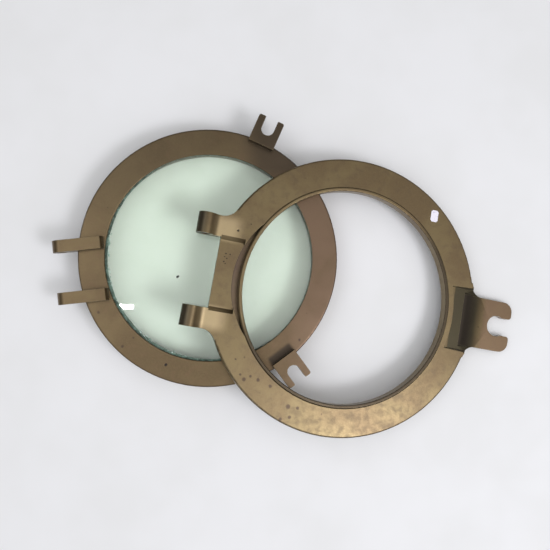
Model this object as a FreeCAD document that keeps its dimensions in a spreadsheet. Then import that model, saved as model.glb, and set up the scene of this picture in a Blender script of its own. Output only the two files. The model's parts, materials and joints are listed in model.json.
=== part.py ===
"""Two cast brass rings of an opening ship's porthole.

The glazed ring lies flat on its back.  The open ring has no glass and leans on it: its left half
rests on the glazed ring, and its fork rests on the floor.  The row's frame has +Z up, +X towards
the open ring's fork, and its origin under the middle of the pair.
"""
import FreeCAD, Part
import Sketcher
import math
import os
import re

V = FreeCAD.Vector

# name, millimetres or degrees, meaning
DIMENSIONS = [
    ("glazed_x", -106.5, "centre of the glazed ring, across"),
    ("glazed_y", 22.0, "centre of the glazed ring, along"),
    ("glazed_turn", 6.4, "turn of the glazed ring about its axis"),
    ("glazed_radius", 158.75, "outside of the glazed ring"),
    ("glazed_height", 36.0, "back face to front face"),
    ("clear_radius", 127.0, "clear light, half of 10 inches"),
    ("lip_depth", 3.5, "lip over the front of the pane"),
    ("pane_radius", 132.5, "glass pane"),
    ("pane_depth", 12.0, "thickness of the pane"),
    ("putty_gap", 1.0, "putty between pane and lip"),
    ("seat_radius", 134.5, "pocket that holds the pane"),
    ("recess_radius", 143.0, "recess for the retaining ring"),
    ("recess_depth", 13.0, "depth of that recess from the back"),
    ("seal_inner", 147.0, "seal groove, inside"),
    ("seal_outer", 154.0, "seal groove, outside"),
    ("seal_depth", 6.0, "depth of the seal groove"),
    ("seal_gap", 0.3, "side clearance of the seal in its groove"),
    ("rim_round", 2.5, "rounding of the rings' outer edges"),
    ("lip_round", 1.0, "rounding of the rings' inner edges"),
    ("glass_edge", 0.8, "ground edge of the pane"),
    ("retainer_inner", 130.0, "retaining ring, inside"),
    ("retainer_gap", 0.3, "clearance round the retaining ring"),
    ("retainer_back", 3.0, "retaining ring's back above the floor"),
    ("gasket_depth", 2.5, "gasket under the pane"),
    ("screw_circle", 139.0, "radius of the screws' circle"),
    ("screw_radius", 2.4, "shank of a retaining screw"),
    ("screw_hole", 2.5, "hole for a retaining screw"),
    ("screw_head", 4.6, "head of a retaining screw"),
    ("screw_length", 18.0, "whole length of a retaining screw"),
    ("screw_slot", 1.2, "width of the driver slot"),
    ("screw_room", 1.0, "room past the end of a retaining screw"),
    ("bar_spread", 31.2, "middle of a hinge bar from the ring's middle"),
    ("bar_width", 14.5, "width of a hinge bar"),
    ("bar_proud", 10.0, "height of the bars and forks over the face"),
    ("bar_inner", 125.5, "inner end of a hinge bar"),
    ("bar_slope", 3.0, "slope at the inner end of a hinge bar"),
    ("bar_root", 6.0, "reach of a bar's underside into the rim"),
    ("bar_overlap", 2.0, "depth that a bar is sunk in the face"),
    ("pin_reach", 175.0, "glazed ring's middle to its hinge pin"),
    ("bar_end", 10.5, "rounded end of a hinge bar"),
    ("pin_radius", 6.0, "bore for the hinge pin"),
    ("dog_angle", 60.0, "forks to either side of the axis of symmetry"),
    ("dog_inner", 152.0, "inner edge of a fork block"),
    ("dog_tip", 187.0, "tips of a fork"),
    ("dog_width", 33.0, "width of a fork"),
    ("dog_depth", 18.0, "thickness of a fork"),
    ("dog_slot", 16.0, "width of a fork's slot"),
    ("dog_seat", 165.0, "bottom of a fork's slot"),
    ("dog_round", 2.5, "rounding of a fork's tips"),
    ("open_x", 63.0, "centre of the open ring's face, across"),
    ("open_y", -26.0, "centre of the open ring's face, along"),
    ("open_z", 46.1, "centre of the open ring's face, height"),
    ("open_turn", -10.2, "turn of the open ring about its axis"),
    ("lean_across", -0.1179, "slope of the open ring's face along X"),
    ("lean_along", -0.0233, "slope of the open ring's face along Y"),
    ("open_radius", 173.0, "outside of the open ring"),
    ("open_bore", 132.5, "bore of the open ring"),
    ("open_depth", 11.0, "thickness of the open ring's flange"),
    ("open_lip", 137.5, "outside of the raised lip round the bore"),
    ("lip_proud", 1.5, "height of that lip over the face"),
    ("barrel_reach", 187.5, "open ring's middle to its hinge pin"),
    ("barrel_drop", 3.0, "hinge pin below the open ring's face"),
    ("barrel_radius", 11.0, "outside of a hinge barrel"),
    ("arm_inner", 43.0, "inner side of a hinge arm"),
    ("arm_outer", 68.0, "outer side of a hinge arm"),
    ("arm_flare", 20.0, "fillet from arm to ring"),
    ("arm_toe", 5.0, "foot of an arm's underside from the straight edge"),
    ("arm_root", 21.0, "reach of an arm into the ring"),
    ("flare_root", 25.0, "reach of an arm's fillet into the ring"),
    ("neck_round", 12.0, "hollow between barrel and arm"),
    ("chord_reach", 167.5, "straight edge between the hinge arms"),
    ("plate_sunk", 5.0, "hinge plate below the face"),
    ("plate_slope", 5.0, "width of the slope beside the hinge plate"),
    ("plate_inner", 138.0, "inner edge of the hinge plate"),
    ("groove_reach", 145.5, "outer edge of the crescent groove"),
    ("groove_sunk", 8.0, "floor of the crescent groove below the face"),
    ("groove_spread", 30.0, "half of the angle that the groove covers"),
    ("lug_half", 33.0, "half of the width of the big fork"),
    ("lug_tip", 235.0, "tips of the big fork"),
    ("lug_drop", 11.0, "big fork below the face"),
    ("lug_depth", 8.0, "thickness of the big fork"),
    ("lug_flare", 22.0, "fillet from big fork to ring"),
    ("lug_round", 13.0, "outer corners of the big fork"),
    ("lug_nose", 4.0, "inner corners of the big fork"),
    ("lug_slot", 23.0, "mouth of the big fork's slot"),
    ("lug_seat", 13.5, "radius of the slot's round seat"),
    ("lug_seat_reach", 201.5, "bottom of the slot's seat"),
    ("sink_inner", 144.5, "inner edge of the sunk shelf by the fork"),
    ("sink_depth", 3.0, "outer edge of that shelf below the face"),
    ("shelf_rise", 1.5, "rise of the shelf towards the bore"),
    ("shelf_spread", 6.0, "how far the shelf reaches past the lower floor on each side"),
    ("step_reach", 158.5, "step from the shelf down to the lower floor"),
    ("step_drop", 2.0, "height of that step"),
    ("ramp_start", 165.0, "outer edge of the lower floor"),
    ("ramp_end", 187.0, "foot of the slope down to the fork"),
    ("ramp_side", 7.0, "width and height of the slopes beside the shelf and the lower floor"),
    ("lug_slope", 17.0, "length of the slope from the ring's edge down to the big fork"),
    ("heel_reach", 184.0, "start of the big fork's flat underside"),
    ("lip_skin", 1.0, "metal left beside the raised lip"),
    ("band_angle", 44.0, "part of the ring kept level inside the sunk shelf"),
    ("label_x", 98.5, "middle of the price label on the open ring"),
    ("label_y", 124.0, "middle of the price label on the open ring"),
    ("label_long", 15.0, "price label"),
    ("label_wide", 10.0, "price label"),
    ("label_deep", 0.3, "price label"),
    ("label_clip", 2.0, "clipped corners of the label"),
    ("cut_room", 5.0, "length that a cut runs on past the metal"),
]
SCREWS = 8


def make_sheet(doc):
    """Writes the driving dimensions, one alias to a row."""
    sheet = doc.addObject("Spreadsheet::Sheet", "Sheet")
    for row, (name, size, meaning) in enumerate(DIMENSIONS, start=1):
        sheet.set("A%d" % row, meaning)
        sheet.set("B%d" % row, str(size))
        sheet.setAlias("B%d" % row, name)
    doc.recompute()
    return sheet


def size(doc, formula):
    """The present value of a formula written with the sheet's aliases."""
    return float(doc.Sheet.evalExpression(formula))


def linked(formula):
    """The formula as another object reads it, with each alias looked up in the sheet."""
    names = {name for name, _, _ in DIMENSIONS}
    return re.sub("[a-z_]+", lambda word: ("Sheet." if word.group() in names else "") + word.group(), formula)


def placed(x, y, z, xaxis, zaxis):
    """A placement from an origin and two of its axes."""
    return FreeCAD.Placement(V(x, y, z), FreeCAD.Rotation(xaxis, zaxis.cross(xaxis), zaxis, "ZXY"))


def glazed_place(doc):
    turn = math.radians(size(doc, "glazed_turn"))
    xaxis = V(math.cos(turn), math.sin(turn), 0)
    return placed(size(doc, "glazed_x"), size(doc, "glazed_y"), 0, xaxis, V(0, 0, 1))


def open_place(doc):
    """The leaning ring: its face follows the two slopes, and its fork points along open_turn."""
    across, along = size(doc, "lean_across"), size(doc, "lean_along")
    turn = math.radians(size(doc, "open_turn"))
    rise = across * math.cos(turn) + along * math.sin(turn)
    xaxis = V(math.cos(turn), math.sin(turn), rise).normalize()
    zaxis = V(-across, -along, 1).normalize()
    return placed(size(doc, "open_x"), size(doc, "open_y"), size(doc, "open_z"), xaxis, zaxis)


def new_body(doc, name):
    body = doc.addObject("PartDesign::Body", name)
    body.Label = name
    return body


def plane(body, role):
    """One of the body's own origin planes or axes."""
    return next(item for item in body.Origin.OriginFeatures if item.Role == role)


def edge_between(start, end, radius):
    """A straight edge, or an arc turning left for a positive radius and right for a negative one."""
    if radius == 0:
        return Part.LineSegment(start, end)
    chord = end - start
    side = V(-chord.y, chord.x, 0).normalize() * math.copysign(1, radius)
    height = math.sqrt(max(radius * radius - chord.Length ** 2 / 4, 0))
    centre = (start + end) / 2 + side * height
    first, last = (start, end) if radius > 0 else (end, start)
    angles = [math.atan2(point.y - centre.y, point.x - centre.x) for point in (first, last)]
    return Part.ArcOfCircle(Part.Circle(centre, V(0, 0, 1), abs(radius)), *angles)


def tie(sketch, kind, edge, end, formula):
    """Ties one end of an edge to the sketch's origin, across or up."""
    number = sketch.addConstraint(Sketcher.Constraint(kind, -1, 1, edge, end, size(sketch.Document, formula)))
    sketch.setExpression("Constraints[%d]" % number, linked(formula))


def new_sketch(body, name, role, lift, turn="0"):
    """A sketch on one of the body's planes, lifted along the plane's normal and turned about it."""
    doc = body.Document
    sketch = body.newObject("Sketcher::SketchObject", name)
    sketch.AttachmentSupport = [(plane(body, role), "")]
    sketch.MapMode = "FlatFace"
    spin = FreeCAD.Rotation(V(0, 0, 1), size(doc, turn))
    sketch.AttachmentOffset = FreeCAD.Placement(V(0, 0, size(doc, lift)), spin)
    sketch.setExpression("AttachmentOffset.Base.z", linked(lift))
    return sketch


def outline(body, name, role, corners, lift="0", turn="0"):
    """A closed outline.

    Each corner is a pair of formulas, with a third for the radius of the arc that leads on from it.
    """
    doc = body.Document
    sketch = new_sketch(body, name, role, lift, turn)
    points = [V(size(doc, corner[0]), size(doc, corner[1]), 0) for corner in corners]
    radii = [size(doc, corner[2]) if len(corner) > 2 else 0 for corner in corners]
    for start, end, radius in zip(points, points[1:] + points[:1], radii):
        sketch.addGeometry(edge_between(start, end, radius), False)
    starts = [1 if radius >= 0 else 2 for radius in radii]
    for edge, corner in enumerate(corners):
        before = edge - 1 if edge else len(corners) - 1
        joint = Sketcher.Constraint("Coincident", before, 3 - starts[before], edge, starts[edge])
        sketch.addConstraint(joint)
        tie(sketch, "DistanceX", edge, starts[edge], corner[0])
        tie(sketch, "DistanceY", edge, starts[edge], corner[1])
        if radii[edge]:
            number = sketch.addConstraint(Sketcher.Constraint("Radius", edge, abs(radii[edge])))
            sketch.setExpression("Constraints[%d]" % number, "abs(%s)" % linked(corner[2]))
    doc.recompute()
    return sketch


def round_hole(body, name, role, across, up, radius, lift="0"):
    """A sketch of one circle."""
    doc = body.Document
    sketch = new_sketch(body, name, role, lift)
    centre = V(size(doc, across), size(doc, up), 0)
    sketch.addGeometry(Part.Circle(centre, V(0, 0, 1), size(doc, radius)), False)
    tie(sketch, "DistanceX", 0, 3, across)
    tie(sketch, "DistanceY", 0, 3, up)
    number = sketch.addConstraint(Sketcher.Constraint("Radius", 0, size(doc, radius)))
    sketch.setExpression("Constraints[%d]" % number, linked(radius))
    doc.recompute()
    return sketch


def revolve(body, name, corners, angle="360"):
    """Turns a section (radius, height) about the body's Z axis, to both sides of the body's X axis."""
    section = outline(body, name + "_section", "XZ_Plane", corners)
    feature = body.newObject("PartDesign::Revolution", name)
    feature.Profile = section
    feature.ReferenceAxis = (section, ["V_Axis"])
    feature.setExpression("Angle", linked(angle))
    feature.Midplane = True
    body.Document.recompute()
    return feature


def pad(body, name, sketch, length, midplane=False):
    """Adds material behind the sketch, or to both sides of it."""
    feature = body.newObject("PartDesign::Pad", name)
    feature.Profile = sketch
    feature.setExpression("Length", linked(length))
    feature.Midplane = midplane
    feature.Reversed = not midplane
    body.Document.recompute()
    return feature


def pocket(body, name, sketch, length, midplane=False, reverse=False):
    """Cuts material and makes sure that some was there."""
    before = body.Shape.Volume
    feature = body.newObject("PartDesign::Pocket", name)
    feature.Profile = sketch
    feature.setExpression("Length", linked(length))
    feature.Midplane = midplane
    feature.Reversed = reverse
    body.Document.recompute()
    if body.Shape.Volume > before - 1:
        raise RuntimeError(name + " cuts nothing")
    return feature


def mirror(body, name, features):
    """Repeats features on the other side of the body's XZ plane."""
    feature = body.newObject("PartDesign::Mirrored", name)
    feature.Originals = features
    feature.MirrorPlane = (plane(body, "XZ_Plane"), [""])
    body.Tip = feature
    body.Document.recompute()
    return feature


def ring_of(body, name, features, count):
    """Repeats features round the body's Z axis."""
    feature = body.newObject("PartDesign::PolarPattern", name)
    feature.Originals = features
    feature.Axis = (plane(body, "Z_Axis"), [""])
    feature.Angle = 360
    feature.Occurrences = count
    body.Tip = feature
    body.Document.recompute()
    return feature


def trough(body, name, corners, raised, half, side):
    """A trough along Y with a flat floor between -half and half and slopes up to half + side.

    corners is its side view at the floor, and raised is the same outline at the top of the slopes.
    """
    before = body.Shape.Volume
    wide = "(%s + %s)" % (half, side)
    cuts = []
    stations = [("-" + wide, raised), ("-" + half, corners), (half, corners), (wide, raised)]
    for number, (lift, shape) in enumerate(stations):
        cuts.append(outline(body, "%s_cut%d" % (name, number), "XZ_Plane", shape, lift))
    feature = body.newObject("PartDesign::SubtractiveLoft", name)
    feature.Profile = cuts[0]
    feature.Sections = cuts[1:]
    feature.Ruled = True
    body.Document.recompute()
    if body.Shape.Volume > before - 1:
        raise RuntimeError(name + " cuts nothing")
    return feature


def glazed_ring_casting(doc):
    """Flat ring with a pocket for the pane, a groove for the seal, two hinge bars and two forks."""
    body = new_body(doc, "glazed_ring_casting")
    pane_seat = "glazed_height - lip_depth"
    revolve(body, "rim", [
        ("clear_radius", pane_seat), ("seat_radius", pane_seat), ("seat_radius", "recess_depth"),
        ("recess_radius", "recess_depth"), ("recess_radius", "0"), ("seal_inner", "0"),
        ("seal_inner", "seal_depth"), ("seal_outer", "seal_depth"), ("seal_outer", "0"),
        ("glazed_radius - lip_round", "0"), ("glazed_radius", "lip_round"),
        ("glazed_radius", "glazed_height - rim_round", "rim_round"),
        ("glazed_radius - rim_round", "glazed_height"),
        ("clear_radius + lip_round", "glazed_height", "lip_round"),
        ("clear_radius", "glazed_height - lip_round")])
    bar = hinge_bar(body)
    fork = dog_fork(body)
    mirror(body, "other_side", [bar, fork])
    top = "glazed_height + bar_proud"
    pin = round_hole(body, "pin_circle", "XZ_Plane", "-pin_reach", top + " - bar_end", "pin_radius")
    pocket(body, "pin_bore", pin, "2*(bar_spread + bar_width)", midplane=True)
    screw = round_hole(body, "screw_circle", "XY_Plane", "screw_circle", "0", "screw_hole", "recess_depth")
    deep = "screw_length + retainer_back - recess_depth + screw_room"
    hole = pocket(body, "screw_bore", screw, deep, reverse=True)
    ring_of(body, "screw_bores", [hole], SCREWS)
    return body


def hinge_bar(body):
    """A bar that stands on the face and reaches past the rim to a round end about the pin."""
    top = "glazed_height + bar_proud"
    root = "glazed_height - bar_overlap"
    side = outline(body, "bar_side", "XZ_Plane", [
        ("-bar_inner", root), ("-bar_inner", top + " - bar_slope"), ("-bar_inner - bar_slope", top),
        ("-pin_reach", top, "bar_end"), ("-pin_reach - bar_end", top + " - bar_end", "bar_end"),
        ("-pin_reach", top + " - 2*bar_end"), ("-glazed_radius + bar_root", top + " - 2*bar_end"),
        ("-glazed_radius + bar_root", root)], lift="bar_spread")
    return pad(body, "bar", side, "bar_width", midplane=True)


def dog_fork(body):
    """A block across the rim with an open slot for a swing bolt."""
    half, slot = "dog_width/2", "dog_slot/2"
    plan = outline(body, "fork_plan", "XY_Plane", [
        ("dog_inner", "-" + half), ("dog_tip - dog_round", "-" + half, "dog_round"),
        ("dog_tip", "-%s + dog_round" % half), ("dog_tip", "-%s - lip_round" % slot, "lip_round"),
        ("dog_tip - lip_round", "-" + slot), ("dog_seat + " + slot, "-" + slot, "-" + slot),
        ("dog_seat", "0", "-" + slot), ("dog_seat + " + slot, slot),
        ("dog_tip - lip_round", slot, "lip_round"), ("dog_tip", slot + " + lip_round"),
        ("dog_tip", half + " - dog_round", "dog_round"), ("dog_tip - dog_round", half),
        ("dog_inner", half)], lift="glazed_height + bar_proud", turn="dog_angle")
    return pad(body, "fork", plan, "dog_depth")


def turned_part(doc, name, corners):
    """A round piece of the glazed ring from its section."""
    body = new_body(doc, name)
    revolve(body, name + "_turned", corners)
    return body


def glazing(doc):
    """The pane, its putty, the gasket under it and the seal ring."""
    lip = "glazed_height - lip_depth"
    front = lip + " - putty_gap"
    back = front + " - pane_depth"
    pane = turned_part(doc, "glass_pane", [
        ("0", back), ("pane_radius - glass_edge", back), ("pane_radius", back + " + glass_edge"),
        ("pane_radius", front + " - glass_edge"), ("pane_radius - glass_edge", front), ("0", front)])
    putty = turned_part(doc, "glass_putty", [
        ("clear_radius + lip_round", front), ("pane_radius", front), ("pane_radius", back),
        ("seat_radius", back), ("seat_radius", lip), ("clear_radius + lip_round", lip)])
    gasket = turned_part(doc, "glass_gasket", [
        ("retainer_inner", back + " - gasket_depth"), ("seat_radius - retainer_gap", back + " - gasket_depth"),
        ("seat_radius - retainer_gap", back), ("retainer_inner", back)])
    seal = turned_part(doc, "seal_ring", [
        ("seal_inner + seal_gap", "0"), ("seal_outer - seal_gap", "0"),
        ("seal_outer - seal_gap", "seal_depth"), ("seal_inner + seal_gap", "seal_depth")])
    return [pane, putty, gasket, seal]


def glass_retaining_ring(doc):
    """A stepped ring, screwed on from the back, whose nose presses the gasket on the pane."""
    nose = "glazed_height - lip_depth - putty_gap - pane_depth - gasket_depth"
    body = turned_part(doc, "glass_retaining_ring", [
        ("retainer_inner", "retainer_back"), ("recess_radius - retainer_gap", "retainer_back"),
        ("recess_radius - retainer_gap", "recess_depth"), ("seat_radius - retainer_gap", "recess_depth"),
        ("seat_radius - retainer_gap", nose), ("retainer_inner", nose)])
    circle = round_hole(body, "shank_circle", "XY_Plane", "screw_circle", "0", "screw_hole", "retainer_back")
    shank = pocket(body, "shank_hole", circle, "recess_depth", reverse=True)
    ring_of(body, "shank_holes", [shank], SCREWS)
    sink = body.newObject("PartDesign::SubtractiveCone", "head_sink")
    sink.setExpression("Radius1", linked("screw_head + screw_hole - screw_radius"))
    sink.setExpression("Radius2", linked("screw_hole"))
    sink.setExpression("Height", linked("screw_head - screw_radius"))
    sink.Placement = FreeCAD.Placement(V(size(doc, "screw_circle"), 0, size(doc, "retainer_back")),
                                       FreeCAD.Rotation())
    doc.recompute()
    ring_of(body, "head_sinks", [sink], SCREWS)
    return body


def retaining_screw(doc, number):
    """One slotted countersunk screw, its head at the back."""
    shank = doc.addObject("Part::Cylinder", "shank%d" % number)
    shank.setExpression("Radius", linked("screw_radius"))
    shank.setExpression("Height", linked("screw_length"))
    head = doc.addObject("Part::Cone", "head%d" % number)
    head.setExpression("Radius1", linked("screw_head"))
    head.setExpression("Radius2", linked("screw_radius"))
    head.setExpression("Height", linked("screw_head - screw_radius"))
    whole = doc.addObject("Part::Fuse", "screw_blank%d" % number)
    whole.Base, whole.Tool = head, shank
    slot = doc.addObject("Part::Box", "slot%d" % number)
    slot.setExpression("Length", linked("3*screw_head"))
    slot.setExpression("Width", linked("screw_slot"))
    slot.setExpression("Height", linked("screw_slot"))
    slot.setExpression("Placement.Base.x", linked("-1.5*screw_head"))
    slot.setExpression("Placement.Base.y", linked("-screw_slot/2"))
    screw = doc.addObject("Part::Cut", "screw%d" % number)
    screw.Base, screw.Tool = whole, slot
    turn = FreeCAD.Rotation(V(0, 0, 1), 360 * number / SCREWS)
    reach = V(size(doc, "screw_circle"), 0, size(doc, "retainer_back"))
    screw.Placement = FreeCAD.Placement(turn.multVec(reach), turn)
    return screw


def retaining_screws(doc):
    group = doc.addObject("Part::Compound", "retaining_screws")
    group.Label = "retaining_screws"
    group.Links = [retaining_screw(doc, number) for number in range(SCREWS)]
    return group


def open_ring_casting(doc):
    """Ring with two curled hinge barrels beside a sunk plate, and one big dropped fork."""
    body = new_body(doc, "open_ring_casting")
    revolve(body, "flange", [
        ("open_bore", "-open_depth"),
        ("open_radius - lip_round", "-open_depth"), ("open_radius", "-open_depth + lip_round"),
        ("open_radius", "-rim_round", "rim_round"), ("open_radius - rim_round", "0"), ("open_lip", "0"),
        ("open_lip - lip_proud", "lip_proud"), ("open_bore + lip_round", "lip_proud", "lip_round"),
        ("open_bore", "lip_proud - lip_round")])
    mirror(body, "other_arm", [hinge_arm(body), arm_flare(body)])
    hinge_plate(body)
    pin = round_hole(body, "barrel_circle", "XZ_Plane", "-barrel_reach", "-barrel_drop", "pin_radius")
    pocket(body, "barrel_bore", pin, "2*arm_outer + 2", midplane=True)
    big_fork(body)
    return body


def hinge_arm(body):
    """Side view of an arm: flat top, hollow neck and round barrel."""
    both = "(barrel_radius + neck_round)"
    run = "sqrt(%s^2 - (neck_round + barrel_drop)^2)" % both
    touch = "-barrel_drop + (neck_round + barrel_drop)*barrel_radius/" + both
    root = "-open_radius + arm_root"
    side = outline(body, "arm_side", "XZ_Plane", [
        ("-barrel_reach", "-barrel_drop - barrel_radius"),
        ("-barrel_reach + barrel_radius", "-barrel_drop - barrel_radius"),
        ("-chord_reach + arm_toe", "-open_depth"), (root, "-open_depth"), (root, "0"),
        ("-barrel_reach + " + run, "0", "-neck_round"),
        ("-barrel_reach + %s*barrel_radius/%s" % (run, both), touch, "barrel_radius"),
        ("-barrel_reach - barrel_radius", "-barrel_drop", "barrel_radius")],
        lift="(arm_inner + arm_outer)/2")
    return pad(body, "arm", side, "arm_outer - arm_inner", midplane=True)


def arm_flare(body):
    """Plan of the fillet between an arm's outer side and the rim."""
    out = "(arm_outer + arm_flare)"
    along = "sqrt((open_radius + arm_flare)^2 - %s^2)" % out
    share = "*open_radius/(open_radius + arm_flare)"
    plan = outline(body, "flare_plan", "XY_Plane", [
        ("-" + along, "-arm_outer", "-arm_flare"), ("-" + along + share, "-" + out + share),
        ("-open_radius + flare_root", "-arm_outer")])
    return pad(body, "flare", plan, "open_depth")


def hinge_plate(body):
    """Straight edge, sunk plate and crescent groove between the hinge arms."""
    chord = outline(body, "chord_plan", "XY_Plane", [
        ("-barrel_reach - 4*cut_room", "-arm_inner"), ("-chord_reach", "-arm_inner"),
        ("-chord_reach", "arm_inner"), ("-barrel_reach - 4*cut_room", "arm_inner")], lift="lip_proud")
    pocket(body, "chord", chord, "open_depth + lip_proud")
    floor = [("-chord_reach", "-plate_sunk"), ("-plate_inner", "-plate_sunk"), ("-plate_inner", "cut_room"),
             ("-chord_reach", "cut_room")]
    brow = [(across, up + " + plate_sunk") for across, up in floor]
    trough(body, "plate", floor, brow, "(arm_inner - plate_slope/2)", "plate_slope")
    middle = "(groove_reach^2 - open_lip^2)/(2*(groove_reach - open_lip*cos(groove_spread)))"
    tip = ["-open_lip*cos(groove_spread)", "open_lip*sin(groove_spread)"]
    crescent = outline(body, "crescent_plan", "XY_Plane", [
        (tip[0], tip[1], "groove_reach - " + middle), (tip[0], "-" + tip[1], "-open_lip")])
    pocket(body, "crescent", crescent, "groove_sunk")


def big_fork(body):
    """Slopes lead from the rim down to a fork plate, and a stepped sunk floor runs into them."""
    wide = "(lug_half + lug_flare)"
    along = "sqrt((open_radius + lug_flare)^2 - %s^2)" % wide
    share = "*open_radius/(open_radius + lug_flare)"
    mouth = "lug_seat_reach + lug_seat + sqrt(lug_seat^2 - lug_slot^2/4)"
    plan = outline(body, "big_fork_plan", "XY_Plane", [
        (along + share, "-" + wide + share, "-lug_flare"), (along, "-lug_half"),
        ("lug_tip - lug_round", "-lug_half", "lug_round"), ("lug_tip", "-lug_half + lug_round"),
        ("lug_tip", "-lug_slot/2 - lug_nose", "lug_nose"), ("lug_tip - lug_nose", "-lug_slot/2"),
        (mouth, "-lug_slot/2", "-lug_seat"), ("lug_seat_reach", "0", "-lug_seat"), (mouth, "lug_slot/2"),
        ("lug_tip - lug_nose", "lug_slot/2", "lug_nose"), ("lug_tip", "lug_slot/2 + lug_nose"),
        ("lug_tip", "lug_half - lug_round", "lug_round"), ("lug_tip - lug_round", "lug_half"),
        (along, "lug_half", "-lug_flare"), (along + share, wide + share),
        ("sink_inner", "lug_half"), ("sink_inner", "-lug_half")])
    pad(body, "big_fork", plan, "lug_drop + lug_depth")
    foot = "open_radius + lug_slope"
    far = "lug_tip + cut_room"
    above = outline(body, "above_fork", "XZ_Plane", [
        ("open_radius", "0"), (foot, "-lug_drop"), (far, "-lug_drop"), (far, "cut_room"),
        ("open_radius", "cut_room")])
    pocket(body, "fork_top", above, "4*lug_half", midplane=True)
    deep = "-lug_drop - lug_depth - cut_room"
    below = outline(body, "below_fork", "XZ_Plane", [
        ("open_bore + lip_skin", deep), ("heel_reach", deep), ("heel_reach", "-lug_drop - lug_depth"),
        ("ramp_start", "-open_depth"), ("open_bore + lip_skin", "-open_depth")])
    pocket(body, "fork_back", below, "4*lug_half", midplane=True)
    start = "open_lip + lip_skin"
    foot = [("ramp_end", "-lug_drop"), (far, "-lug_drop"), (far, "cut_room")]
    shelf = [(start, "-sink_depth + shelf_rise"), ("ramp_start", "-sink_depth")] + foot + [(start, "cut_room")]
    brow = [(across, "%s + ramp_side" % up) for across, up in shelf]
    trough(body, "shelf", shelf, brow, "(lug_half + shelf_spread)", "ramp_side")
    deep = "-sink_depth - step_drop"
    floor = [("step_reach", deep), ("ramp_start", deep)] + foot + [("step_reach", "cut_room")]
    brow = [(across, "%s + ramp_side" % up) for across, up in floor]
    trough(body, "sink", floor, brow, "lug_half", "ramp_side")
    revolve(body, "inner_band", [
        ("open_lip - lip_skin", "-open_depth"), ("sink_inner", "-open_depth"), ("sink_inner", "0"),
        ("open_lip - lip_skin", "0")], angle="band_angle")


def price_label(doc):
    """Blank paper label with clipped corners, stuck on the open ring's face."""
    body = new_body(doc, "price_label")
    left, right = "label_x - label_wide/2", "label_x + label_wide/2"
    low, high = "label_y - label_long/2", "label_y + label_long/2"
    plan = outline(body, "label_plan", "XY_Plane", [
        (left + " + label_clip", low), (right + " - label_clip", low), (right, low + " + label_clip"),
        (right, high + " - label_clip"), (right + " - label_clip", high), (left + " + label_clip", high),
        (left, high + " - label_clip"), (left, low + " + label_clip")], lift="label_deep")
    pad(body, "label", plan, "label_deep")
    return body


def check(doc, pieces):
    """Stops on a failed feature or an empty or broken shape."""
    for item in doc.Objects:
        if "Invalid" in item.State or "Error" in item.State:
            raise RuntimeError("%s failed: %s" % (item.Name, item.State))
    for piece in pieces:
        if piece.Shape.isNull() or not piece.Shape.isValid():
            raise RuntimeError(piece.Label + " has no valid shape")


def main():
    doc = FreeCAD.newDocument("porthole_rings")
    make_sheet(doc)
    glazed = [glazed_ring_casting(doc), glass_retaining_ring(doc), retaining_screws(doc)] + glazing(doc)
    leaning = [open_ring_casting(doc), price_label(doc)]
    for piece in glazed:
        piece.Placement = glazed_place(doc)
    for piece in leaning:
        piece.Placement = open_place(doc)
    doc.recompute()
    check(doc, glazed + leaning)
    os.makedirs("parts", exist_ok=True)
    for piece in glazed + leaning:
        piece.Shape.exportStep("parts/%s.step" % piece.Label)
        print(piece.Label, round(piece.Shape.Volume), "mm3,", len(piece.Shape.Solids), "solids")


main()
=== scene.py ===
"""Looks of the two loose brass rings of an opening ship's porthole, lying on a pale floor.

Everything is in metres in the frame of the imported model.  The castings, the retaining ring and the
pane are copies of the CAD nodes with their corners joined; the bead of putty, the chips along the
pane's edge and the drop of tar are surfaces worked out here.
"""
import json
import math

import bmesh
import bpy
import numpy as np
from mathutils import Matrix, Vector

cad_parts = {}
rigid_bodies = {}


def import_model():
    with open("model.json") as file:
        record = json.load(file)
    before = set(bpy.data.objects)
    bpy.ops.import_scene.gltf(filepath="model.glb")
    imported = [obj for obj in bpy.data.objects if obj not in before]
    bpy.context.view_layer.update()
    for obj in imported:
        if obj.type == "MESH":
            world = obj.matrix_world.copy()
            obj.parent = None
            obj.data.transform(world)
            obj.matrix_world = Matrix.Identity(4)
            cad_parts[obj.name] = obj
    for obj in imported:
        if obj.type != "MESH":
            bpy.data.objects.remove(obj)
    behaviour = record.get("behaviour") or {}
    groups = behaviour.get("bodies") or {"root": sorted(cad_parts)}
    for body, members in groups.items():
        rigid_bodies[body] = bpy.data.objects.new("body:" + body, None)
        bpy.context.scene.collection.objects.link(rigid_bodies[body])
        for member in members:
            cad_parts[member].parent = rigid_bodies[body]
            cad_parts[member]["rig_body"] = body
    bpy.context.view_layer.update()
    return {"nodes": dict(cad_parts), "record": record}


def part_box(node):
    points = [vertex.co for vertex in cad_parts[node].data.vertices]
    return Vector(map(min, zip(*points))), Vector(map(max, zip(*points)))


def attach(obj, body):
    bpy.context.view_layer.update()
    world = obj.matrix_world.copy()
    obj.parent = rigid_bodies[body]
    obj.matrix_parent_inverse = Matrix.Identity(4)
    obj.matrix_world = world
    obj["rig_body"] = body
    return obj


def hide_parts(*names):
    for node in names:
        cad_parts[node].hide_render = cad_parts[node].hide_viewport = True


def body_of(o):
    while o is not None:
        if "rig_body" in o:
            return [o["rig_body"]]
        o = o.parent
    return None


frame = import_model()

MM = 0.001
WELD = 0.002 * MM
SMOOTH_UP_TO = math.radians(32)
EASED = {"interpolation_type": "SMOOTHSTEP"}

# in millimetres: the radius inside the lip of the glazed ring, and how far the open ring's hinge
# bore lies from the middle of its face and below it
CLEAR_RADIUS = 127
BARREL_REACH = 187.5
BARREL_DROP = 3


# ---------------------------------------------------------------- the rings' own axes

def mount(name):
    """A mount's point and axis from the record."""
    found = next(item for item in frame["record"]["mounts"] if item["name"] == name)
    return Vector(found["pos_m"]), Vector(found["axis"])


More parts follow.
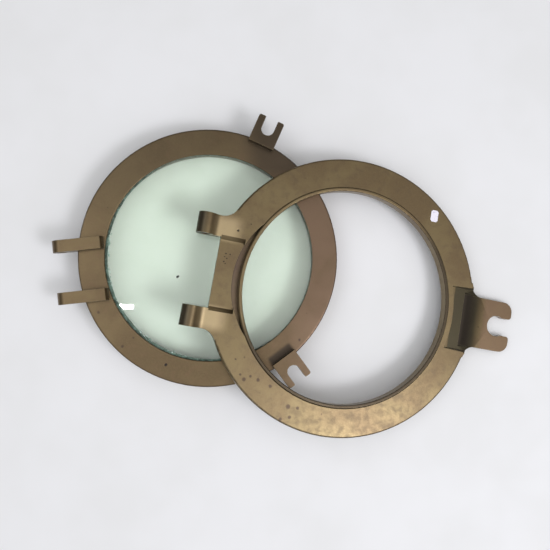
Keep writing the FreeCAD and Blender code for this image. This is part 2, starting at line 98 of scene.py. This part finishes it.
def glazed_axes():
    """Centre and three axes of the glazed ring: X away from its hinge, Z up."""
    low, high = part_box("glass_pane")
    centre = Vector(((low.x + high.x) / 2, (low.y + high.y) / 2, 0))
    along = mount("glazed_hinge_bore")[1]
    up = Vector((0, 0, 1))
    return centre, along.cross(up).normalized(), along, up


def open_axes():
    """Centre of the open ring's face and three axes: X towards its big fork, Z out of its face."""
    hinge, along = mount("open_hinge_bore")
    up = mount("big_fork")[1]
    out = along.cross(up).normalized()
    return hinge + BARREL_REACH * MM * out + BARREL_DROP * MM * up, out, along, up


GLAZED = glazed_axes()
OPEN = open_axes()
PANE_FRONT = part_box("glass_pane")[1].z


def spot_on(axes, x, y, z):
    """The point at (x, y, z) millimetres in a ring's own axes."""
    centre, across, along, up = axes
    return centre + (x * across + y * along + z * up) * MM


# ---------------------------------------------------------------- colours and nodes

def paint(code):
    """Linear colour from an sRGB hex code."""
    parts = [int(code[i:i + 2], 16) / 255 for i in (1, 3, 5)]
    return [c / 12.92 if c <= 0.04045 else ((c + 0.055) / 1.055) ** 2.4 for c in parts] + [1.0]


def add(tree, kind, inputs=None, output=0, **settings):
    """Adds a node with its settings, fills or links its inputs, and gives one of its outputs."""
    node = tree.nodes.new("ShaderNode" + kind)
    for key, value in settings.items():
        setattr(node, key, value)
    for key, value in (inputs or {}).items():
        if isinstance(value, bpy.types.NodeSocket):
            tree.links.new(value, node.inputs[key])
        else:
            node.inputs[key].default_value = value
    return node.outputs[output] if len(node.outputs) else None


def new_material(name):
    """An empty material, its tree, and the place on a piece that its patterns read."""
    material = bpy.data.materials.new(name)
    material.use_nodes = True
    tree = material.node_tree
    tree.nodes.clear()
    return material, tree, add(tree, "TexCoord", output="Object")


def along_axes(tree, where, axes):
    """The three coordinates of a place in a ring's own axes, in millimetres."""
    reach = add(tree, "VectorMath", {0: where, 1: axes[0]}, operation="SUBTRACT")
    reach = add(tree, "VectorMath", {0: reach, "Scale": 1 / MM}, operation="SCALE")
    return [add(tree, "VectorMath", {0: reach, 1: axis}, "Value", operation="DOT_PRODUCT")
            for axis in axes[1:]]


def within(tree, *limits):
    """Share of a surface inside all the limits: each is a value, where it counts 0 and where 1."""
    share = 1.0
    for value, nothing, whole in limits:
        part = add(tree, "MapRange", {0: value, 1: nothing, 2: whole}, **EASED)
        share = add(tree, "Math", {0: share, 1: part}, operation="MULTIPLY")
    return share


def laid_on(tree, colour, code, share, strength=1.0):
    """A colour with another laid on it over a share of the surface, at most that strongly."""
    share = add(tree, "Math", {0: share, 1: strength}, operation="MULTIPLY")
    return add(tree, "Mix", {0: share, 6: colour, 7: paint(code)}, 2, data_type="RGBA")


def marks(tree, where, places, edge):
    """Share of a surface under round marks; each place is a point and a radius in millimetres."""
    total = 0.0
    for point, radius in places:
        reach = add(tree, "VectorMath", {0: where, 1: point}, "Value", operation="DISTANCE")
        share = within(tree, (reach, radius * MM * (1 + edge), radius * MM * (1 - edge)))
        total = add(tree, "Math", {0: total, 1: share}, operation="MAXIMUM")
    return total


# ---------------------------------------------------------------- materials

def open_ring_tones(tree, colour, where):
    """Tones of the open ring, laid out in millimetres in its own axes.

    Darker on the shelf and the lower floor by the big fork, painted shade on the lip on the near and
    fork sides, a tan fork, brown barrels, a painted highlight on the necks, and a purplish film in the
    groove.
    """
    x, y, z = along_axes(tree, where, OPEN)
    wide = add(tree, "Math", {0: y}, operation="ABSOLUTE")
    shelf = within(tree, (x, 142.5, 144.5), (x, 192, 178), (wide, 44, 40), (z, -0.6, -1.3))
    colour = laid_on(tree, colour, "#3d3826", shelf, 0.88)
    lower_floor = within(tree, (x, 158, 159), (x, 186, 168), (wide, 35, 32))
    colour = laid_on(tree, colour, "#281e15", lower_floor, 0.85)
    # painted shade: the lip is laid darker brown on the near side and the fork side
    near_side = within(tree, (y, -40, -80))
    fork_side = within(tree, (x, 60, 115))
    lip_shade_sides = add(tree, "Math", {0: near_side, 1: fork_side}, operation="MAXIMUM")
    lip = within(tree, (z, 0.3, 0.7), (x, -140, -130))
    painted_lip_shade = add(tree, "Math", {0: lip, 1: lip_shade_sides}, operation="MULTIPLY")
    colour = laid_on(tree, colour, "#362b1b", painted_lip_shade, 0.92)
    fork = within(tree, (x, 190, 198))
    colour = laid_on(tree, colour, "#785f4b", fork, 0.6)
    barrels = within(tree, (x, -183, -194))
    colour = laid_on(tree, colour, "#373122", barrels, 0.8)
    # painted highlight on the barrels' necks
    painted_neck_highlight = within(tree, (x, -184, -170), (x, -138, -158), (wide, 36, 44), (wide, 74, 60))
    colour = laid_on(tree, colour, "#cdb78e", painted_neck_highlight, 0.5)
    groove = within(tree, (z, -6.2, -7.6), (x, -120, -150))
    return laid_on(tree, colour, "#503e42", groove, 0.55)


def glazed_ring_tones(tree, colour, where):
    """Tones of the glazed ring, laid out in millimetres in its own axes.

    A pinkish film away from the hinge, painted shade in darker brown on the far side, painted shade
    where the open ring lies over it, and a painted shadow of the lower fork on the face inside it.
    """
    x, y, z = along_axes(tree, where, GLAZED)
    patches = add(tree, "TexNoise", {
        "Vector": where, "Scale": 1 / (55 * MM), "Detail": 3, "Roughness": 0.55, "Distortion": 0.6})
    patchy = add(tree, "MapRange", {0: patches, 1: 0.3, 2: 0.6, 3: 0.5, 4: 1.0}, **EASED)
    film = add(tree, "Math", {0: within(tree, (x, 20, 130)), 1: patchy}, operation="MULTIPLY")
    colour = laid_on(tree, colour, "#71584b", film, 0.55)
    # painted shade: the far side of the glazed ring is laid darker brown
    far_side = within(tree, (y, 20, 120))
    colour = laid_on(tree, colour, "#473b27", far_side, 0.4)
    # painted shade on the face where the open ring lies over it
    painted_shade_under_open_ring = within(tree, (x, 45, 80), (y, 85, 105))
    colour = laid_on(tree, colour, "#2b2215", painted_shade_under_open_ring, 0.62)
    # the lower fork points 60 degrees from X, to the near side
    fork_way = (math.cos(math.radians(-60)), math.sin(math.radians(-60)), 0)
    across_fork = (-fork_way[1], fork_way[0], 0)
    place = add(tree, "CombineXYZ", {0: x, 1: y, 2: z})
    out = add(tree, "VectorMath", {0: place, 1: fork_way}, "Value", operation="DOT_PRODUCT")
    aside = add(tree, "VectorMath", {0: place, 1: across_fork}, "Value", operation="DOT_PRODUCT")
    aside = add(tree, "Math", {0: aside}, operation="ABSOLUTE")
    # painted shadow of the lower fork, cast on the face just inside it
    painted_fork_shadow = within(tree, (out, 140, 145), (aside, 19, 14), (z, 37.5, 35.8))
    return laid_on(tree, colour, "#1e150d", painted_fork_shadow, 0.82)


def aged_brass(name, colours, pits=(), stains=(), tones=None):
    """Cast brass, turned on its faces, then handled and left to brown for decades.

    The eye gets a satin metal, brown where the skin is old and yellow where it is thin, with rubbed
    light edges, dark dirt and painted shade in the corners, small pits and brown stains.
    """
    material, tree, where = new_material(name)
    # the outlines of marks and flecks wander by up to 0.8 mm
    noise = add(tree, "TexNoise", {"Vector": where, "Scale": 1 / (4 * MM)}, "Color")
    noise = add(tree, "VectorMath", {0: noise, 1: (0.5, 0.5, 0.5)}, operation="SUBTRACT")
    spread = (1.6 * MM, 1.6 * MM, 1.6 * MM)
    bent = add(tree, "VectorMath", {0: noise, 1: spread, 2: where}, operation="MULTIPLY_ADD")
    # skin of oxide: patches of 55 mm broken up by patches of 9 mm and of 1.6 mm
    patches = add(tree, "TexNoise", {
        "Vector": where, "Scale": 1 / (55 * MM), "Detail": 3, "Roughness": 0.55, "Distortion": 0.6})
    small = add(tree, "TexNoise", {
        "Vector": where, "Scale": 1 / (9 * MM), "Detail": 4, "Roughness": 0.6, "Distortion": 0.3})
    fine = add(tree, "TexNoise", {"Vector": where, "Scale": 1 / (1.6 * MM), "Detail": 3, "Roughness": 0.6})
    old_skin, thin_skin, small_patches, fine_grain, worn_edge = colours
    colour = laid_on(tree, paint(old_skin), thin_skin, within(tree, (patches, 0.35, 0.66)))
    colour = laid_on(tree, colour, small_patches, within(tree, (small, 0.45, 0.75)), 0.55)
    colour = laid_on(tree, colour, fine_grain, within(tree, (fine, 0.35, 0.7)), 0.25)
    if tones:
        colour = tones(tree, colour, where)
    # flecks of dark tarnish, up to 3 mm across and 13 mm apart
    crowd = add(tree, "TexNoise", {"Vector": where, "Scale": 1 / (30 * MM)})
    size = add(tree, "MapRange", {0: crowd, 1: 0.45, 2: 0.75, 3: 0.0, 4: 0.11}, **EASED)
    reach = add(tree, "TexVoronoi", {"Vector": bent, "Scale": 1 / (13 * MM)}, "Distance", feature="F1")
    fleck = add(tree, "Math", {0: reach, 1: size}, operation="LESS_THAN")
    colour = laid_on(tree, colour, "#35291d", fleck, 0.45)
    # edges rubbed light within 1.3 mm, and the corners within 4 mm darkened by occlusion: dirt and painted
    # shade
    rounded = add(tree, "Bevel", {"Radius": 1.3 * MM}, samples=4)
    facing = add(tree, "NewGeometry", output="Normal")
    turn = add(tree, "VectorMath", {0: rounded, 1: facing}, "Value", operation="DOT_PRODUCT")
    worn = add(tree, "MapRange", {0: small, 1: 0.3, 2: 0.6, 3: 0.25, 4: 0.9}, **EASED)
    rubbed = add(tree, "Math", {0: within(tree, (turn, 0.97, 0.80)), 1: worn}, operation="MULTIPLY")
    colour = laid_on(tree, colour, worn_edge, rubbed)
    openness = add(tree, "AmbientOcclusion", {"Distance": 4 * MM}, "AO", samples=6, only_local=True)
    dirt_and_shade = within(tree, (openness, 0.74, 0.38))
    colour = laid_on(tree, colour, "#1e170f", dirt_and_shade, 0.7)
    stain = marks(tree, bent, stains, 0.5)
    colour = laid_on(tree, colour, "#342320", stain, 0.72)
    pit = marks(tree, bent, pits, 0.3)
    colour = laid_on(tree, colour, "#17110c", pit, 0.9)
    rough = add(tree, "MapRange", {0: small, 1: 0.3, 2: 0.7, 3: 0.3, 4: 0.4}, **EASED)
    rough = add(tree, "Math", {0: dirt_and_shade, 1: 0.25, 2: rough}, operation="MULTIPLY_ADD")
    rough = add(tree, "Math", {0: rubbed, 1: -0.1, 2: rough}, operation="MULTIPLY_ADD")
    # 0.3 mm sand-like casting skin, drawn at 0.8 mm so that it shows, with the pits sunk 0.4 mm
    sand = add(tree, "TexNoise", {"Vector": where, "Scale": 1 / (0.8 * MM)})
    height = add(tree, "Math", {0: small, 1: 0.12}, operation="MULTIPLY")
    height = add(tree, "Math", {0: sand, 1: 0.03, 2: height}, operation="MULTIPLY_ADD")
    height = add(tree, "Math", {0: pit, 1: -0.4, 2: height}, operation="MULTIPLY_ADD")
    soft_edge = add(tree, "Bevel", {"Radius": 0.7 * MM}, samples=4)
    bump = add(tree, "Bump", {"Strength": 0.6, "Distance": MM, "Height": height, "Normal": soft_edge})
    brass = add(tree, "BsdfPrincipled", {
        "Base Color": colour, "Metallic": 0.85, "Roughness": rough, "Normal": bump,
        "Coat Weight": 0.35, "Coat Roughness": 0.36})
    add(tree, "OutputMaterial", {"Surface": brass})
    return material


def pale_green_glass():
    """Old plate glass 12 mm thick, ground at the edge and polished on its faces.

    The eye gets clear glass that is pale green through its faces and dark green at its edge, with
    a faint film of dust.
    """
    material, tree, where = new_material("pale_green_plate_glass")
    # dust lies in clouds of 22 mm, and the faces ripple every 60 mm
    dust = add(tree, "TexNoise", {"Vector": where, "Scale": 1 / (22 * MM), "Detail": 3, "Roughness": 0.6})
    ripple = add(tree, "TexNoise", {"Vector": where, "Scale": 1 / (60 * MM), "Detail": 1})
    glass = add(tree, "BsdfPrincipled", {
        "Base Color": laid_on(tree, paint("#fbfdfb"), "#f1f6f0", dust),
        "Roughness": add(tree, "MapRange", {0: dust, 1: 0.3, 2: 0.7, 3: 0.0, 4: 0.03}, **EASED),
        "Normal": add(tree, "Bump", {"Strength": 0.05, "Distance": MM, "Height": ripple}),
        "IOR": 1.52, "Transmission Weight": 1.0})
    clear = add(tree, "BsdfTransparent", {"Color": paint("#f4faf4")})
    shadow = add(tree, "LightPath", output="Is Shadow Ray")
    lets_light_through = add(tree, "MixShader", {0: shadow, 1: glass, 2: clear})
    green = add(tree, "VolumeAbsorption", {"Color": paint("#aedb8a"), "Density": 8.0})
    add(tree, "OutputMaterial", {"Surface": lets_light_through, "Volume": green})
    return material


def old_putty():
    """Linseed putty, pressed in by hand and gone hard.

    The eye gets a matt grey-green paste with darker veins 7 mm apart and 2 mm crumbs.
    """
    material, tree, where = new_material("hard_linseed_putty")
    crumbs = add(tree, "TexNoise", {"Vector": where, "Scale": 1 / (2.2 * MM), "Detail": 4, "Roughness": 0.65})
    veins = add(tree, "TexNoise", {
        "Vector": where, "Scale": 1 / (7 * MM), "Detail": 3, "Roughness": 0.6, "Distortion": 1.0})
    colour = laid_on(tree, paint("#3c4d41"), "#6f8a7c", within(tree, (veins, 0.4, 0.65)))
    putty = add(tree, "BsdfPrincipled", {
        "Base Color": laid_on(tree, colour, "#a8c4b6", within(tree, (crumbs, 0.5, 0.72)), 0.8),
        "Roughness": add(tree, "MapRange", {0: crumbs, 1: 0.3, 2: 0.7, 3: 0.6, 4: 0.85}, **EASED),
        "Normal": add(tree, "Bump", {"Strength": 0.8, "Distance": 0.4 * MM, "Height": crumbs})})
    add(tree, "OutputMaterial", {"Surface": putty})
    return material


def black_rubber():
    """Moulded rubber, perished on its skin.

    The eye gets a dull near-black with a grey bloom and fine cracks about 3 mm apart.
    """
    material, tree, where = new_material("perished_black_rubber")
    bloom = add(tree, "TexNoise", {"Vector": where, "Scale": 1 / (12 * MM), "Detail": 4, "Roughness": 0.6})
    from_crack = add(tree, "TexVoronoi", {"Vector": where, "Scale": 1 / (3 * MM)}, "Distance",
                     feature="DISTANCE_TO_EDGE")
    colour = laid_on(tree, paint("#191918"), "#3a3a37", within(tree, (bloom, 0.4, 0.75)))
    whole_skin = within(tree, (from_crack, 0.0, 0.06))
    rubber = add(tree, "BsdfPrincipled", {
        "Base Color": laid_on(tree, colour, "#0c0c0c", within(tree, (from_crack, 0.06, 0.0))),
        "Roughness": add(tree, "MapRange", {0: bloom, 1: 0.3, 2: 0.7, 3: 0.6, 4: 0.85}, **EASED),
        "Normal": add(tree, "Bump", {"Strength": 0.5, "Distance": 0.2 * MM, "Height": whole_skin})})
    add(tree, "OutputMaterial", {"Surface": rubber})
    return material


def label_paper():
    """Gummed paper label, rubbed and slightly creased.

    The eye gets a cool white with grey rubs 3.5 mm apart on its 0.5 mm fibres.
    """
    material, tree, where = new_material("rubbed_label_paper")
    rub = add(tree, "TexNoise", {"Vector": where, "Scale": 1 / (3.5 * MM), "Detail": 4, "Roughness": 0.6})
    fibre = add(tree, "TexNoise", {"Vector": where, "Scale": 1 / (0.5 * MM)})
    height = add(tree, "Math", {0: rub, 1: fibre}, operation="ADD")
    paper = add(tree, "BsdfPrincipled", {
        "Base Color": laid_on(tree, paint("#f3effb"), "#cbc4de", within(tree, (rub, 0.52, 0.72))),
        "Roughness": add(tree, "MapRange", {0: fibre, 1: 0.3, 2: 0.7, 3: 0.7, 4: 0.9}, **EASED),
        "Normal": add(tree, "Bump", {"Strength": 0.4, "Distance": 0.2 * MM, "Height": height})})
    add(tree, "OutputMaterial", {"Surface": paper})
    return material


def chipped_glass():
    """Broken glass edge.

    The eye gets small shells 2.5 mm apart, white and pale green where they catch the light.
    """
    material, tree, where = new_material("chipped_glass_edge")
    shells = add(tree, "TexNoise", {"Vector": where, "Scale": 1 / (2.5 * MM), "Detail": 3, "Roughness": 0.6})
    chip = add(tree, "BsdfPrincipled", {
        "Base Color": laid_on(tree, paint("#86a698"), "#e4f2ea", within(tree, (shells, 0.42, 0.6))),
        "Roughness": add(tree, "MapRange", {0: shells, 1: 0.3, 2: 0.7, 3: 0.12, 4: 0.35}, **EASED),
        "Normal": add(tree, "Bump", {"Strength": 0.9, "Distance": 0.4 * MM, "Height": shells}),
        "IOR": 1.52})
    add(tree, "OutputMaterial", {"Surface": chip})
    return material


def dried_tar():
    """A dried drop of tar: the eye gets a black-brown skin, slightly glossy, with 0.7 mm wrinkles."""
    material, tree, where = new_material("dried_tar")
    wrinkle = add(tree, "TexNoise", {"Vector": where, "Scale": 1 / (0.7 * MM), "Detail": 3, "Roughness": 0.6})
    tar = add(tree, "BsdfPrincipled", {
        "Base Color": laid_on(tree, paint("#141210"), "#2d2620", wrinkle),
        "Roughness": add(tree, "MapRange", {0: wrinkle, 1: 0.3, 2: 0.7, 3: 0.3, 4: 0.5}, **EASED),
        "Normal": add(tree, "Bump", {"Strength": 0.6, "Distance": 0.2 * MM, "Height": wrinkle})})
    add(tree, "OutputMaterial", {"Surface": tar})
    return material


def floor_vinyl():
    """Pale satin floor sheet: the eye gets off-white with faint grey clouds 180 mm apart."""
    material, tree, where = new_material("pale_floor_sheet")
    clouds = add(tree, "TexNoise", {"Vector": where, "Scale": 1 / (180 * MM), "Detail": 3, "Roughness": 0.6})
    vinyl = add(tree, "BsdfPrincipled", {
        "Base Color": laid_on(tree, paint("#ededee"), "#e9e9e9", within(tree, (clouds, 0.35, 0.65))),
        "Roughness": add(tree, "MapRange", {0: clouds, 1: 0.3, 2: 0.7, 3: 0.55, 4: 0.65}, **EASED),
        "Specular IOR Level": 0.3})
    add(tree, "OutputMaterial", {"Surface": vinyl})
    return material


# ---------------------------------------------------------------- pieces

def joined_copy(node, name, material):
    """A copy of a CAD node with its corners joined and its gentle bends smooth."""
    mesh = frame["nodes"][node].data.copy()
    mesh.name = name
    work = bmesh.new()
    work.from_mesh(mesh)
    bmesh.ops.remove_doubles(work, verts=work.verts, dist=WELD)
    work.to_mesh(mesh)
    work.free()
    mesh.attributes.remove(mesh.attributes["custom_normal"])
    mesh.shade_smooth()
    mesh.set_sharp_from_angle(angle=SMOOTH_UP_TO)
    mesh.materials.clear()
    mesh.materials.append(material)
    piece = bpy.data.objects.new(name, mesh)
    bpy.context.scene.collection.objects.link(piece)
    weigh = piece.modifiers.new("weighted", "WEIGHTED_NORMAL")
    weigh.keep_sharp = True
    weigh.weight = 100
    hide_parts(node)
    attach(piece, body_of(frame["nodes"][node])[0])


def new_piece(name, points, faces, body, material):
    """A smooth piece on a body, from its points and faces."""
    mesh = bpy.data.meshes.new(name)
    mesh.from_pydata(points.tolist(), [], faces)
    mesh.shade_smooth()
    mesh.materials.append(material)
    piece = bpy.data.objects.new(name, mesh)
    bpy.context.scene.collection.objects.link(piece)
    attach(piece, body)


def wobble(angle, seed, turns, rough):
    """Sum of sine waves in the angle with random phases and falling heights, between about -1 and 1."""
    phases = np.random.default_rng(seed).uniform(0, 2 * np.pi, len(turns))
    heights = rough ** np.arange(len(turns))
    waves = np.sin(angle[:, None] * np.array(turns) + phases) * heights
    return waves.sum(1) / heights.sum()


def putty_bead(material):
    """Putty squeezed out on the pane along the lip.

    For each angle round the ring a flat half-oval section runs from under the lip inwards.  Its
    width grows with the cosine of the angle from the hinge side and wobbles with the angle.  Its
    height is a skirt plus a sine across the section, which is lower where the bead is narrow.
    """
    widest_at = math.radians(205)
    narrow, swell, under_lip = 0.35, 3.0, 0.4
    skirt, crown, rim = 0.12, 0.42, 0.02
    centre, across, along, up = (np.array(v) for v in GLAZED)
    angle = np.linspace(0, 2 * np.pi, 1440, endpoint=False)
    hinge_side = np.cos(angle - widest_at)
    wide = narrow + swell * np.clip((hinge_side + 0.1) / 1.1, 0, 1) ** 0.8
    wide = wide * (1 + 0.16 * wobble(angle, 3, (9, 17, 31, 57, 91, 143), 0.85))
    turn = np.linspace(0, np.pi, 9)
    inward = (1 - np.cos(turn)) / 2
    radius = CLEAR_RADIUS + under_lip - (wide[None, :] + under_lip) * inward[:, None]
    height = skirt + crown * np.sin(turn)[:, None] * np.minimum(wide / swell, 1)[None, :]
    height[0], height[-1] = rim, rim
    outward = np.cos(angle)[None, :, None] * across + np.sin(angle)[None, :, None] * along
    points = centre + radius[:, :, None] * MM * outward + (PANE_FRONT + height * MM)[:, :, None] * up
    grid = np.arange(radius.size).reshape(radius.shape)
    after = np.roll(grid, -1, axis=1)
    faces = np.stack([grid[:-1], after[:-1], after[1:], grid[1:]], axis=-1).reshape(-1, 4)
    new_piece("putty_bead", points.reshape(-1, 3), faces.tolist(), "glazed_ring", material)


def domes(name, places, material, lift):
    """Low round domes on the glazed ring, whose rims wobble with the angle.

    The height falls as the square root of one less the squared reach from the middle.  A place is
    (x, y, half length, half width, turn, height) in millimetres and radians.
    """
    centre, across, along, up = (np.array(v) for v in GLAZED)
    angle = np.linspace(0, 2 * np.pi, 18, endpoint=False)
    reach = np.array([0.02, 0.4, 0.75, 0.95, 1.0])[:, None]
    grid = np.arange(reach.size * angle.size).reshape(reach.size, angle.size)
    after = np.roll(grid, -1, axis=1)
    sides = np.stack([grid[1:], after[1:], after[:-1], grid[:-1]], axis=-1).reshape(-1, 4)
    points, faces = [], []
    for number, (x, y, half_length, half_width, turn, tall) in enumerate(places):
        rim = 1 + 0.25 * wobble(angle, 20 + number, (2, 3, 5, 7), 0.7)
        u = reach * rim * np.cos(angle) * half_length
        v = reach * rim * np.sin(angle) * half_width
        east = x + u * math.cos(turn) - v * math.sin(turn)
        north = y + u * math.sin(turn) + v * math.cos(turn)
        high = lift / MM + tall * np.sqrt(np.clip(1 - reach ** 2, 0, 1)) + 0 * u
        dome = centre + (east[..., None] * across + north[..., None] * along + high[..., None] * up) * MM
        base = number * grid.size
        faces += (sides + base).tolist()
        faces.append((grid[0] + base).tolist())
        points.append(dome.reshape(-1, 3))
    new_piece(name, np.concatenate(points), faces, "glazed_ring", material)


def edge_chips(material):
    """Chips along the hinge side of the pane's edge."""
    count, first_angle, last_angle = 46, 158, 252
    shallowest, deepest = 2.2, 4.9
    dice = np.random.default_rng(11)
    places = []
    for _ in range(count):
        angle = math.radians(dice.uniform(first_angle, last_angle))
        radius = CLEAR_RADIUS - dice.uniform(shallowest, deepest)
        size = dice.uniform(0.5, 1.5)
        half_length = size * dice.uniform(0.9, 1.8)
        along_edge = angle + math.pi / 2
        places.append((radius * math.cos(angle), radius * math.sin(angle),
                       half_length, size * 0.6, along_edge, 0.5))
    domes("pane_edge_chips", places, material, PANE_FRONT + 0.1 * MM)


# ---------------------------------------------------------------- build

# places in millimetres in each ring's own axes, each with its radius
HINGE_PITS = [(spot_on(OPEN, x, y, -5), radius) for x, y, radius in (
    (-158, 25, 0.9), (-153, 25, 0.8), (-159, 21, 0.7), (-156, 19, 0.7), (-159, 15, 0.8), (-157, 13, 0.7))]
ARM_PITS = [(spot_on(OPEN, -149, 54, -1), 1.8), (spot_on(OPEN, -135, 65, 0), 0.7)]
OPEN_STAINS = [(spot_on(OPEN, x, y, 0), radius) for x, y, radius in (
    (-125, -97, 1.2), (-116, -114, 1.4), (-104, -114, 1.5), (-111, -119, 2.2), (-94, -117, 2.0),
    (-78, -122, 2.0), (-52, -143, 2.7), (-40, -143, 2.0), (-48, -155, 2.1), (-59, -159, 2.1),
    (-9, -146, 0.9))]
GLAZED_STAINS = [(spot_on(GLAZED, x, y, 36), radius) for x, y, radius in (
    (-67, -124, 1.6), (-140, -52, 1.6), (-116, -96, 1.5), (-102, -87, 1.2), (99, -113, 1.5))]

# old skin, thin skin, small patches, fine grain and worn edges
YELLOW_BRASS = ("#68563b", "#756545", "#5c4c38", "#7f6f50", "#988a67")
BROWN_BRASS = ("#5d4c32", "#69583b", "#6b543c", "#756445", "#91815f")
DULL_BRASS = ("#534731", "#5d5239", "#473b2a", "#695b42", "#786e50")
SCREW_BRASS = ("#65583d", "#6e6041", "#534833", "#766a4a", "#8b7f5e")

# the first stain of the glazed ring has a pit in its middle
open_brass = aged_brass("aged_cast_brass_open_ring", YELLOW_BRASS, HINGE_PITS + ARM_PITS, OPEN_STAINS,
                        open_ring_tones)
glazed_brass = aged_brass("aged_cast_brass_glazed_ring", BROWN_BRASS, GLAZED_STAINS[:1], GLAZED_STAINS,
                          glazed_ring_tones)
putty = old_putty()
rubber = black_rubber()

joined_copy("glazed_ring_casting", "glazed_ring_brass", glazed_brass)
joined_copy("open_ring_casting", "open_ring_brass", open_brass)
joined_copy("glass_retaining_ring", "retaining_ring_brass", aged_brass("dull_turned_brass", DULL_BRASS))
joined_copy("glass_pane", "plate_glass_pane", pale_green_glass())
for node, material in (("glass_putty", putty), ("glass_gasket", rubber), ("seal_ring", rubber),
                       ("retaining_screws", aged_brass("screw_brass", SCREW_BRASS)),
                       ("price_label", label_paper())):
    frame["nodes"][node].data.materials.clear()
    frame["nodes"][node].data.materials.append(material)

putty_bead(putty)
edge_chips(chipped_glass())
domes("tar_speck", [(-42, -19, 1.9, 1.5, 0.6, 0.6)], dried_tar(), PANE_FRONT)


# ---------------------------------------------------------------- floor, light, camera

def softbox(name, place, aim, width, height, watts, colour):
    """A rectangular lamp at a place, turned to a point."""
    lamp = bpy.data.lights.new(name, "AREA")
    lamp.shape = "RECTANGLE"
    lamp.size, lamp.size_y = width, height
    lamp.energy = watts
    lamp.color = paint(colour)[:3]
    holder = bpy.data.objects.new(name, lamp)
    holder.location = place
    holder.rotation_euler = (Vector(aim) - Vector(place)).to_track_quat("-Z", "Y").to_euler()
    bpy.context.scene.collection.objects.link(holder)
    return holder


def white_ceiling():
    """A white ceiling that darkens towards the walls, and a little on the far side."""
    world = bpy.data.worlds.new("studio")
    world.use_nodes = True
    tree = world.node_tree
    tree.nodes.clear()
    direction = add(tree, "TexCoord", output="Generated")
    east, north, height = add(tree, "SeparateXYZ", {0: direction}).node.outputs
    overhead = add(tree, "MapRange", {0: height, 1: 0.3, 2: 0.95, 3: 0.25, 4: 1.4}, **EASED)
    far_side = add(tree, "MapRange", {0: north, 1: -0.05, 2: 0.4, 3: 1.0, 4: 0.6}, **EASED)
    sky = add(tree, "Background", {
        "Color": laid_on(tree, paint("#f0f3f8"), "#efedea", within(tree, (east, -0.8, 0.8))),
        "Strength": add(tree, "Math", {0: overhead, 1: far_side}, operation="MULTIPLY")})
    add(tree, "OutputWorld", {"Surface": sky})
    return world


bpy.ops.mesh.primitive_plane_add(size=8, location=(0, 0, 0))
floor = bpy.context.object
floor.name = "floor"
floor.data.materials.append(floor_vinyl())

softbox("key_softbox", (1.02, -0.76, 1.84), (0.05, -0.05, 0), 0.75, 0.6, 15.0, "#f8f8ff")
softbox("fill_softbox", (-1.2, 0.25, 1.9), (-0.1, 0, 0), 1.0, 1.0, 3.6, "#fbfbff")
small_lamp = softbox("small_lamp", (-0.539, -0.098, 2.4), (-0.539, -0.098, 0), 0.128, 0.022, 0.5, "#ffffff")
small_lamp.rotation_euler = (0, 0, 0)
bpy.context.scene.world = white_ceiling()

camera_data = bpy.data.cameras.new("camera")
camera_data.sensor_width = 36
camera_data.lens = 40.73
camera_data.clip_start, camera_data.clip_end = 0.01, 50
camera = bpy.data.objects.new("camera", camera_data)
camera.location = (-0.1088, -0.0191, 0.8035)
camera.rotation_euler = [math.radians(a) for a in (1.48, -6.13, 0.24)]
bpy.context.scene.collection.objects.link(camera)
bpy.context.scene.camera = camera
bpy.context.scene.view_settings.view_transform = "Standard"
